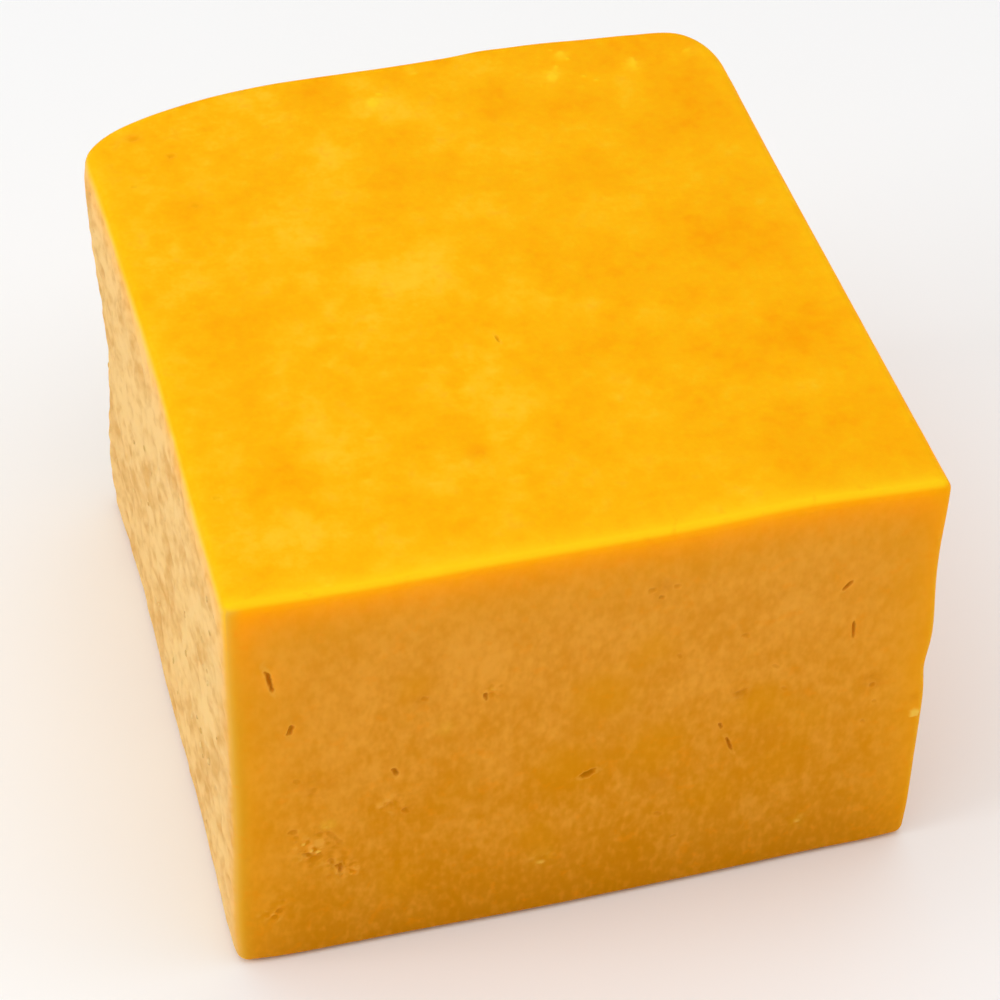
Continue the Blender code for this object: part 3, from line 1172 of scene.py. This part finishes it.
@dataclass(frozen=True)
class CheddarFinish:
    """Orange cheddar: mottled and slightly waxy where cut, pale and dry on the rough outside."""

    top_deep: Colour = (252, 158, 0)
    top_light: Colour = (255, 200, 16)
    # The upright faces are darker than the top: partly their own tan hue, partly painted shade
    front_deep: Colour = (227, 142, 0)
    front_light: Colour = (248, 168, 52)
    pale: Colour = (243, 203, 134)
    tan: Colour = (224, 173, 100)
    cream: Tint = (255, 200, 64, 0.35)
    # Painted glow: a bright yellow rim along the top's front and side edges
    rim: Tint = (255, 206, 22, 1.0)
    # Painted light: the upright faces grow paler towards the top, where the light from above falls
    painted_front_light: Tint = (255, 180, 86, 0.18)
    olive: Tint = (238, 156, 0, 0.5)
    # Painted glow: the upright faces brighter and more saturated near their upright edges, as
    # light shines through
    border: Tint = (255, 168, 16, 1.0)
    # Painted shade: the upright faces darken towards the bottom, where the floor shades them
    foot: Tint = (198, 126, 0, 0.95)
    # Painted glow: the upright faces brighter and more orange just below the top edge, as light
    # shines through
    glow: Tint = (255, 166, 0, 1.0)
    # Painted highlight: the rounded edges of the upright faces lighter, as they catch the light
    # from above
    edge: Tint = (242, 180, 26, 0.75)
    seam: Tint = (230, 167, 38, 0.85)
    # Painted highlight: a pale line on the front's left upright edge
    painted_edge_highlight: Tint = (234, 178, 76, 0.6)
    vein: Tint = (250, 150, 0, 0.25)
    stain: Tint = (200, 112, 0, 0.5)
    top_stain: Tint = (250, 148, 0, 0.6)
    bleached: Tint = (255, 210, 60, 0.7)
    top_bleached: Tint = (255, 204, 34, 0.7)
    # Painted shade in the dips of the crumbly patches, and a painted highlight on their raised
    # crumbs
    painted_dip_shade: Tint = (214, 134, 4, 0.9)
    painted_crumb_highlight: Tint = (255, 190, 80, 0.45)
    lip: Tint = (255, 190, 80, 0.3)
    nub: Tint = (255, 213, 88, 0.7)
    top_nub: Tint = (255, 206, 34, 0.7)
    # Painted glow: bright yellow on the rough outside just below the top edge, as light shines
    # through
    painted_brow_glow: Tint = (255, 195, 20, 0.9)
    # Painted highlight: the outside's raised tips paler
    painted_tip_highlight: Tint = (243, 203, 134, 0.3)
    pit: Tint = (200, 144, 78, 0.25)
    # Painted shade: the outside's dimples browner
    dimple: Tint = (200, 144, 78, 0.35)
    # Painted shade: the openings darker inside, where little light reaches
    inside: Tint = (203, 125, 0, 0.9)

    blotches: Grain = Grain(13.0 * MM, 5.0, 1.0, 0.7)
    mottling: Grain = Grain(2.6 * MM, 3.0, 2.0, 0.6)
    curd: Grain = Grain(1.2 * MM, 1.0, 3.0)
    drawn_curd: Grain = Grain(1.2 * MM, 1.5, 3.0)
    lumps: Grain = Grain(9.0 * MM, 3.0, 5.0, 0.6)
    crust: Grain = Grain(2.2 * MM, 2.0, 6.0)
    fine_grain: Grain = Grain(0.5 * MM, 2.0, 7.0)
    coarse_grain: Grain = Grain(1.6 * MM, 2.0, 8.0)
    coarse_share: float = 1.5
    vein_spacing: float = 7.0 * MM
    vein_width: float = 0.16
    vein_warp: float = 3.0 * MM

    top_weights: tuple[float, ...] = (0.36, 0.26, 0.07, 0.33, 0.085)
    front_weights: tuple[float, ...] = (0.38, 0.23, 0.33, 0.08)
    outside_weights: tuple[float, ...] = (0.55, 0.45)
    # Painted light: the top lighter and yellower towards the left, where the side light falls
    painted_side_light: Line = (-1.2, 0.5)
    drawn_out: Triple = (1.0, 1.0, 0.6)
    # How the curd's grain breaks up the painted shade at the bottom, and how it stays off the
    # upright edges
    gritty_foot: Line = (-0.3, 1.05)
    foot_inset: Line = (-0.55, 1.0)
    inset_power: float = 0.6
    glow_power: float = 1.35
    # How much the painted edge highlight fades over the painted shade at the bottom
    edge_over_foot: Line = (-0.5, 1.0)
    patchy: Line = (2.4, 0.8)
    brow_power: float = 2.5
    brow_share: float = 0.62
    corner_power: float = 2.0
    corner_share: float = 0.6

    top_span: Span = (0.295, 0.735)
    cream_span: Span = (0.51, 0.65)
    front_span: Span = (0.33, 0.62)
    # Heights over which the painted light on the upright faces rises
    painted_light_span: Span = (12 * MM, 68 * MM)
    grit_span: Span = (0.42, 0.72)
    upright_span: Span = (0.8, 1.0)
    band_span: Span = (0.55, 0.95)
    left_span: Span = (-40 * MM, -52 * MM)
    fore_span: Span = (-30 * MM, -50 * MM)
    vein_span: Span = (0.52, 0.66)
    speck_span: Span = (-0.01 * MM, -0.12 * MM)
    fleck_span: Span = (0.01 * MM, 0.12 * MM)
    nub_span: Span = (0.0, 0.8)
    over_rim_span: Span = (0.0, 0.1)
    outside_span: Span = (0.4, 0.66)
    tip_span: Span = (0.0, 0.45 * MM)
    pit_span: Span = (0.5, 0.76)
    dimple_span: Span = (0.0, -0.8 * MM)
    broken_span: Span = (0.0, 0.2)

    scatter: float = 1.0 * MM
    edge_scatter: float = 20.0 * MM
    broken_loss: float = 0.97
    spread: Triple = (1.0, 0.36, 0.08)
    roughness: Line = (0.3, 0.5)
    specular: float = 0.02
    grain_strength: Line = (0.3, 0.4)
    grain_height: float = 0.05 * MM

    def material(self) -> Material:
        """Builds the material.

        Returns:
            A material that reads Object coordinates and the mesh's marks.
        """
        tree = FinishTree("orange_cheddar", Mark)
        marks = tree.marks
        outside = marks[Mark.OUTSIDE]
        # Painted glow where the cut colour runs over onto the rough outside below the top edge
        over_rim = tree.times(tree.smooth(outside, *self.over_rim_span), marks[Mark.LIT])
        cut = tree.layered(self.cut_colour(tree), (over_rim, self.painted_brow_glow))
        rough_share = tree.times(tree.rest(self.cut_share(tree)), outside)
        colour = tree.blend(rough_share, cut, self.outside_colour(tree))
        values = {
            # Painted shade inside the openings
            "Base Color": tree.layered(colour, (marks[Mark.CAVITY], self.inside)),
            "Roughness": tree.fitted(outside, self.roughness),
            "Specular IOR Level": self.specular,
            "Subsurface Radius": self.spread,
            "Subsurface Scale": self.scatter_depth(tree),
            "Normal": self.grain_normal(tree, outside),
        }
        return tree.finished(values)

    def cut_share(self, tree: FinishTree) -> Socket:
        """Runs the cut faces' colour on over the outside's upper and front edges.

        Args:
            tree: Where the nodes go.

        Returns:
            How much of it shows.
        """
        in_front = tree.smooth(tree.along("Y"), *self.fore_span)
        by_front = tree.math("POWER", tree.marks[Mark.BORDER], self.corner_power)
        by_front = tree.times(tree.times(by_front, in_front), self.corner_share)
        # Below the top edge the run-on carries the painted glow
        by_top = tree.math("POWER", tree.marks[Mark.LIT], self.brow_power)
        return tree.math("MAXIMUM", tree.times(by_top, self.brow_share), by_front)

    def scatter_depth(self, tree: FinishTree) -> Socket:
        """Lets light spread far below the top's edges, and hardly in the openings.

        Args:
            tree: Where the nodes go.

        Returns:
            How far it spreads.
        """
        marks = tree.marks
        broken = tree.math("MAXIMUM", marks[Mark.CAVITY], marks[Mark.LIP])
        broken = tree.smooth(broken, *self.broken_span)
        plain = tree.fitted(broken, (-self.broken_loss * self.scatter, self.scatter))
        below_edge = tree.times(marks[Mark.LIT], tree.rest(marks[Mark.UPWARD]))
        below_edge = tree.times(below_edge, tree.rest(broken))
        return tree.math("MULTIPLY_ADD", below_edge, self.edge_scatter, plain)

    def cut_colour(self, tree: FinishTree) -> Socket:
        """Returns the colour of the cut faces: mottled, with the marks' tints over it.

        Args:
            tree: Where the nodes go.

        Returns:
            The colour.
        """
        marks = tree.marks
        blotches = tree.grain(tree.place, self.blotches)
        mottling = tree.grain(tree.place, self.mottling)
        front = self.front_colour(tree, blotches)
        top = self.top_colour(tree, blotches, mottling)
        on_top, crumbly, relief = (marks[m] for m in (Mark.UPWARD, Mark.CRUMBLY, Mark.RELIEF))
        off_top = tree.rest(on_top)
        stain = tree.times(marks[Mark.STAIN], tree.fitted(tree.swing(mottling), self.patchy))
        dark, light = tree.smooth(stain, 0.0, 1.0), tree.smooth(stain, 0.0, -1.0)
        nub = tree.smooth(marks[Mark.NUB], *self.nub_span)
        return tree.layered(
            # Upright faces darker than the top: partly their own hue, partly painted shade
            tree.blend(on_top, front, top),
            (self.veins(tree, mottling), self.vein),
            (tree.times(dark, off_top), self.stain),
            (tree.times(dark, on_top), self.top_stain),
            (tree.times(light, off_top), self.bleached),
            (tree.times(light, on_top), self.top_bleached),
            # Painted shade in the crumbly patches' dips and a painted highlight on their raised
            # crumbs
            (tree.times(tree.smooth(relief, *self.speck_span), crumbly), self.painted_dip_shade),
            (tree.times(tree.smooth(relief, *self.fleck_span), crumbly), self.painted_crumb_highlight),
            (marks[Mark.LIP], self.lip),
            (tree.times(nub, off_top), self.nub),
            (tree.times(nub, on_top), self.top_nub),
        )

    def top_colour(self, tree: FinishTree, blotches: Socket, mottling: Socket) -> Socket:
        """Returns the colour of the top, with a painted glowing rim along its edges.

        Args:
            tree: Where the nodes go.
            blotches: The pattern of large patches.
            mottling: The pattern of small ones.

        Returns:
            The colour.
        """
        # Painted light from the left side, lighter towards the left
        painted_side_light = tree.fitted(tree.along("X"), self.painted_side_light)
        curd = tree.grain(tree.place, self.curd)
        patterns = blotches, mottling, curd, painted_side_light, tree.marks[Mark.TONE]
        tone = tree.total(patterns, self.top_weights)
        return tree.layered(
            tree.shade(tone, self.top_span, self.top_deep, self.top_light),
            (tree.smooth(tone, *self.cream_span), self.cream),
            # Painted glow along the top's edges
            (tree.marks[Mark.GLOW], self.rim),
        )

    def front_colour(self, tree: FinishTree, blotches: Socket) -> Socket:
        """Returns the colour of the upright cut faces: painted glow below the top edge and along
        the upright edges, painted highlights on the rounded edges, and painted shade towards the
        bottom.

        Args:
            tree: Where the nodes go.
            blotches: The pattern of large patches.

        Returns:
            The colour.
        """
        lit, border, edge, foot, tone = (
            tree.marks[m] for m in (Mark.LIT, Mark.BORDER, Mark.EDGE, Mark.FOOT, Mark.TONE)
        )
        values = {"Vector": tree.place, "Scale": self.drawn_out}
        drawn = tree.add("ShaderNodeMapping", values).outputs[0]
        curd = tree.grain(drawn, self.drawn_curd)
        patterns = blotches, tree.grain(drawn, self.mottling), curd, tone
        gritty = tree.fitted(tree.smooth(curd, *self.grit_span), self.gritty_foot)
        inset = tree.fitted(tree.math("POWER", border, self.inset_power), self.foot_inset)
        # Where the painted edge highlight shows: away from the top's painted glow, or at the
        # upright edges, and less towards the bottom
        free = tree.math("MAXIMUM", tree.rest(lit), tree.smooth(border, *self.upright_span))
        free = tree.times(free, tree.fitted(foot, self.edge_over_foot))
        by_left = tree.smooth(tree.along("X"), *self.left_span)
        band = tree.times(tree.smooth(border, *self.band_span), by_left)
        return tree.layered(
            tree.shade(
                tree.total(patterns, self.front_weights),
                self.front_span,
                self.front_deep,
                self.front_light,
            ),
            # Painted light, paler towards the top
            (tree.smooth(tree.along("Z"), *self.painted_light_span), self.painted_front_light),
            (tree.smooth(tone, 0.0, -1.0), self.olive),
            # Painted glow near the upright edges
            (border, self.border),
            # Painted shade towards the bottom, broken by the curd's grain and kept off the upright
            # edges
            (tree.times(tree.times(foot, gritty), inset), self.foot),
            # Painted glow just below the top edge
            (tree.math("POWER", lit, self.glow_power), self.glow),
            # Painted highlight on the rounded edges
            (tree.times(edge, free), self.edge),
            (band, self.seam),
            # Painted highlight on the front's left upright edge
            (tree.times(edge, band), self.painted_edge_highlight),
        )

    def veins(self, tree: FinishTree, mottling: Socket) -> Socket:
        """Finds the faint broken seams between pieces of curd.

        Args:
            tree: Where the nodes go.
            mottling: The pattern of small patches, which breaks them up.

        Returns:
            Where they show.
        """
        values = {"Vector": tree.place, "Scale": 1.0 / self.mottling.size, "Detail": 1.0}
        warp = tree.add("ShaderNodeTexNoise", values).outputs["Color"]
        values = {0: tree.place, 1: tree.scaled(warp, self.vein_warp)}
        warped = tree.add("ShaderNodeVectorMath", values, operation="ADD").outputs[0]
        values = {"Vector": warped, "Scale": 1.0 / self.vein_spacing}
        seams = tree.add("ShaderNodeTexVoronoi", values, feature="DISTANCE_TO_EDGE")
        near = tree.smooth(seams.outputs["Distance"], self.vein_width, 0.0)
        return tree.times(near, tree.smooth(mottling, *self.vein_span))

    def outside_colour(self, tree: FinishTree) -> Socket:
        """Returns the colour of the rough outside: pale and tan, with painted shade in its dimples
        and a painted highlight on its tips.

        Args:
            tree: Where the nodes go.

        Returns:
            The colour.
        """
        drawn = tree.pulled(tree.place)
        crust = tree.grain(drawn, self.crust)
        tone = tree.total((tree.grain(drawn, self.lumps), crust), self.outside_weights)
        pits = tree.times(tree.smooth(crust, *self.pit_span), tree.marks[Mark.ROUGH])
        relief = tree.marks[Mark.RELIEF]
        return tree.layered(
            tree.shade(tone, self.outside_span, self.pale, self.tan),
            # Painted highlight on the raised tips
            (tree.smooth(relief, *self.tip_span), self.painted_tip_highlight),
            (pits, self.pit),
            # Painted shade in the dimples
            (tree.smooth(relief, *self.dimple_span), self.dimple),
        )

    def grain_normal(self, tree: FinishTree, outside: Socket) -> Socket:
        """Adds the finest grain, stronger on the rough outside.

        Args:
            tree: Where the nodes go.
            outside: Where the rough outside is.

        Returns:
            The surface's normal.
        """
        fine = tree.grain(tree.place, self.fine_grain)
        coarse = tree.grain(tree.place, self.coarse_grain)
        both = tree.math("MULTIPLY_ADD", coarse, self.coarse_share, fine)
        height = tree.times(both, tree.fitted(outside, self.grain_strength))
        return tree.bumped(height, self.grain_height)


@dataclass(frozen=True)
class CrumbFinish:
    """Dry crumbs of curd: pale, and a little mottled between two colours."""

    deep: Colour = (220, 172, 98)
    light: Colour = (238, 200, 130)
    mottling: Grain = Grain(0.9 * MM, 2.0, 4.0)
    mottle_span: Span = (0.35, 0.65)
    grain: Grain = Grain(0.3 * MM, 2.0, 9.0)
    grain_height: float = 0.04 * MM
    roughness: Line = (0.2, 0.5)
    specular: float = 0.1
    scatter: float = 0.15 * MM
    spread: Triple = (1.0, 0.4, 0.1)

    def material(self) -> Material:
        """Builds the material.

        Returns:
            A material that reads Object coordinates.
        """
        tree = FinishTree("dry_curd")
        mottling = tree.grain(tree.place, self.mottling)
        values = {
            "Base Color": tree.shade(mottling, self.mottle_span, self.deep, self.light),
            "Roughness": tree.fitted(mottling, self.roughness),
            "Specular IOR Level": self.specular,
            "Subsurface Radius": self.spread,
            "Subsurface Scale": self.scatter,
            "Normal": tree.bumped(tree.grain(tree.place, self.grain), self.grain_height),
        }
        return tree.finished(values)


@dataclass
class DryCrumbs:
    """Crumbs of curd that cling to the rough outside."""

    name: str = "dry_crumbs"
    number: int = 90
    width_range: Span = (0.5, 1.2)
    stretch_range: Span = (0.8, 1.35)
    roughest: float = 0.9
    most_spin: float = 6.283
    ball_detail: int = 2
    flatness: float = 0.36
    lumpiness: float = 0.16 * MM
    lumps: Grain = Grain(0.8 * MM, 2.0, 5.0)
    seed: int = 11

    def spots(self, block: Mesh) -> Mesh:
        """Finds where the crumbs cling to the block.

        Args:
            block: The block's finished mesh.

        Returns:
            A point for each crumb, with the way that the surface faces there and the crumb's
            width.
        """
        rough = np.zeros(len(block.vertices), np.float32)
        block.attributes[Mark.ROUGH.value].data.foreach_get("value", rough)
        draw = np.random.default_rng(self.seed)
        chosen = draw.choice(np.nonzero(rough > self.roughest)[0], self.number, replace=False)
        widths = draw.uniform(*self.width_range, self.number) * MM
        spots = bpy.data.meshes.new(f"{self.name}_spots")
        spots.from_pydata(mesh_points(block)[chosen].tolist(), [], [])
        facings = mesh_normals(block)[chosen].astype(np.float32).ravel()
        layer = spots.attributes.new("facing", "FLOAT_VECTOR", "POINT")
        layer.data.foreach_set("vector", facings)
        layer = spots.attributes.new("width", "FLOAT", "POINT")
        layer.data.foreach_set("value", widths.astype(np.float32))
        return spots

    def mesh(self, spots: Mesh) -> Mesh:
        """Puts a lumpy, flattened ball on each spot.

        Args:
            spots: The crumbs' places.

        Returns:
            The crumbs' mesh.
        """
        inputs = {
            "Flatness": ("Float", self.flatness),
            "Lumpiness": ("Float", self.lumpiness),
            "Seed": ("Int", self.seed),
        }
        tree = GeometryTree(self.name, CrumbFinish().material(), inputs)
        given = tree.given
        points = tree.add("GeometryNodeMeshToPoints", {"Mesh": given["Geometry"]})
        values = {"Radius": 0.5, "Subdivisions": self.ball_detail}
        ball = tree.add("GeometryNodeMeshIcoSphere", values)
        facing = {"Vector": tree.read("facing", "FLOAT_VECTOR")}
        turn = tree.add("FunctionNodeAlignRotationToVector", facing, axis="Z").outputs[0]
        values = {"Max": (0.0, 0.0, self.most_spin), "Seed": given["Seed"]}
        spin = tree.add("FunctionNodeRandomValue", values, data_type="FLOAT_VECTOR").outputs[0]
        values = {"Rotation": turn, "Rotate By": spin}
        turned = tree.add("FunctionNodeRotateRotation", values, rotation_space="LOCAL")
        values = {2: self.stretch_range[0], 3: self.stretch_range[1], "Seed": given["Seed"]}
        stretch = tree.add("FunctionNodeRandomValue", values, data_type="FLOAT").outputs[1]
        width = tree.read("width")
        values = {
            "X": tree.times(width, stretch),
            "Y": width,
            "Z": tree.times(width, given["Flatness"]),
        }
        scale = tree.add("ShaderNodeCombineXYZ", values)
        values = {
            "Points": points.outputs[0],
            "Instance": ball.outputs["Mesh"],
            "Rotation": turned.outputs[0],
            "Scale": scale.outputs[0],
        }
        placed = tree.add("GeometryNodeInstanceOnPoints", values).outputs[0]
        real = tree.add("GeometryNodeRealizeInstances", {0: placed}).outputs[0]
        rise = tree.times(tree.swing(tree.grain(tree.place, self.lumps)), given["Lumpiness"])
        return tree.result(tree.raised(real, tree.times(rise, 2.0)), spots)

    def build(self, block: Mesh) -> bpy.types.Object:
        """Builds the crumbs.

        Args:
            block: The block's finished mesh, which they cling to.

        Returns:
            The finished piece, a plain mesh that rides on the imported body.
        """
        crumbs = smooth_piece(self.name, self.mesh(self.spots(block)))
        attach(crumbs, BODY)
        return crumbs


@dataclass(frozen=True)
class Camera:
    """The camera, at the photograph's angle and distance."""

    azimuth: float = -15.676
    elevation: float = 41.990
    roll: float = 1.024
    place: Triple = (-109.68 * MM, -403.04 * MM, 407.06 * MM)
    sensor: float = 36.0
    focal_length: float = 121.64
    clip: Span = (10 * MM, 20.0)

    def build(self) -> None:
        """Builds the camera and makes it the scene's own."""
        data = bpy.data.cameras.new("camera")
        data.sensor_width = self.sensor
        data.lens = self.focal_length
        data.clip_start, data.clip_end = self.clip
        camera = bpy.data.objects.new("camera", data)
        turn = (
            Matrix.Rotation(math.radians(self.azimuth), 4, "Z")
            @ Matrix.Rotation(math.radians(90.0 - self.elevation), 4, "X")
            @ Matrix.Rotation(math.radians(self.roll), 4, "Z")
        )
        camera.matrix_world = Matrix.Translation(self.place) @ turn
        bpy.context.scene.collection.objects.link(camera)
        bpy.context.scene.camera = camera


@dataclass(frozen=True)
class SoftLight:
    """A square soft light that faces the block."""

    name: str
    azimuth: float
    elevation: float
    distance: float
    size: float
    power: float
    target: Triple = (0.0, 0.0, 40 * MM)

    def build(self) -> None:
        """Builds the light, its back to where azimuth and elevation point."""
        data = bpy.data.lights.new(self.name, "AREA")
        data.shape = "SQUARE"
        data.size = self.size
        data.energy = self.power
        light = bpy.data.objects.new(self.name, data)
        turn, rise = math.radians(self.azimuth), math.radians(self.elevation)
        level = math.cos(rise)
        back = Vector((math.sin(turn) * level, -math.cos(turn) * level, math.sin(rise)))
        light.location = Vector(self.target) + back * self.distance
        light.rotation_euler = (-back).to_track_quat("-Z", "Y").to_euler()
        bpy.context.scene.collection.objects.link(light)


@dataclass(frozen=True)
class Studio:
    """A pale floor, an even pale surround and soft lights."""

    floor_size: float = 8.0
    floor_drop: float = 0.02 * MM
    floor_shade: float = 0.95
    floor_roughness: float = 0.9
    surround: float = 0.505
    lights: tuple[SoftLight, ...] = (
        SoftLight("overhead", 0.0, 90.0, 1.2, 1.6, 8.15),
        SoftLight("side", -85.0, 25.0, 1.2, 0.6, 4.2),
        SoftLight("far_side", 75.0, 20.0, 1.2, 0.6, 1.6),
    )

    def build(self) -> None:
        """Builds the floor, the surround and the lights."""
        scene = bpy.context.scene
        scene.view_settings.view_transform = "Standard"
        world = bpy.data.worlds.new("surround")
        world.use_nodes = True
        background = world.node_tree.nodes["Background"]
        background.inputs["Color"].default_value = (1.0, 1.0, 1.0, 1.0)
        background.inputs["Strength"].default_value = self.surround
        scene.world = world
        for light in self.lights:
            light.build()
        mesh = bpy.data.meshes.new("floor")
        bm = bmesh.new()
        bmesh.ops.create_grid(bm, x_segments=1, y_segments=1, size=self.floor_size / 2)
        bmesh.ops.translate(bm, vec=(0.0, 0.0, -self.floor_drop), verts=bm.verts)
        bm.to_mesh(mesh)
        bm.free()
        material = bpy.data.materials.new("pale_floor")
        material.use_nodes = True
        inputs = material.node_tree.nodes["Principled BSDF"].inputs
        inputs["Base Color"].default_value = (*(self.floor_shade,) * 3, 1.0)
        inputs["Roughness"].default_value = self.floor_roughness
        inputs["Specular IOR Level"].default_value = 0.0
        mesh.materials.append(material)
        floor = bpy.data.objects.new("floor", mesh)
        scene.collection.objects.link(floor)


def mesh_points(mesh: Mesh) -> Array:
    """Reads a mesh's points.

    Args:
        mesh: The mesh.

    Returns:
        The points, one row each.
    """
    points = np.empty(len(mesh.vertices) * 3)
    mesh.vertices.foreach_get("co", points)
    return points.reshape(-1, 3)


def set_mesh_points(mesh: Mesh, points: Array) -> None:
    """Moves a mesh's points to new places."""
    mesh.vertices.foreach_set("co", points.ravel())
    mesh.update()


def mesh_normals(mesh: Mesh) -> Array:
    """Reads a mesh's normals at its points.

    Args:
        mesh: The mesh.

    Returns:
        The normals, one row each.
    """
    normals = np.empty(len(mesh.vertices) * 3, dtype=np.float32)
    mesh.vertex_normals.foreach_get("vector", normals)
    return normals.reshape(-1, 3).astype(float)


def smooth_piece(name: str, mesh: Mesh) -> bpy.types.Object:
    """Puts a smoothly shaded piece into the scene.

    Args:
        name: What the piece and its mesh are called.
        mesh: The mesh.

    Returns:
        The piece.
    """
    mesh.name = name
    mesh.shade_smooth()
    piece = bpy.data.objects.new(name, mesh)
    bpy.context.scene.collection.objects.link(piece)
    return piece


def main() -> None:
    """Builds the stage, the camera and the cheese."""
    logging.basicConfig(level=logging.INFO, format="%(name)s: %(message)s")
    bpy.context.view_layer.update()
    Studio().build()
    Camera().build()
    block = FineBlock().build(CheddarFinish().material())
    crumbs = DryCrumbs().build(block.data)
    for piece in (block, crumbs):
        piece.data.calc_loop_triangles()
        log.info("%s: %d triangles", piece.name, len(piece.data.loop_triangles))


if __name__ == "__main__":
    main()
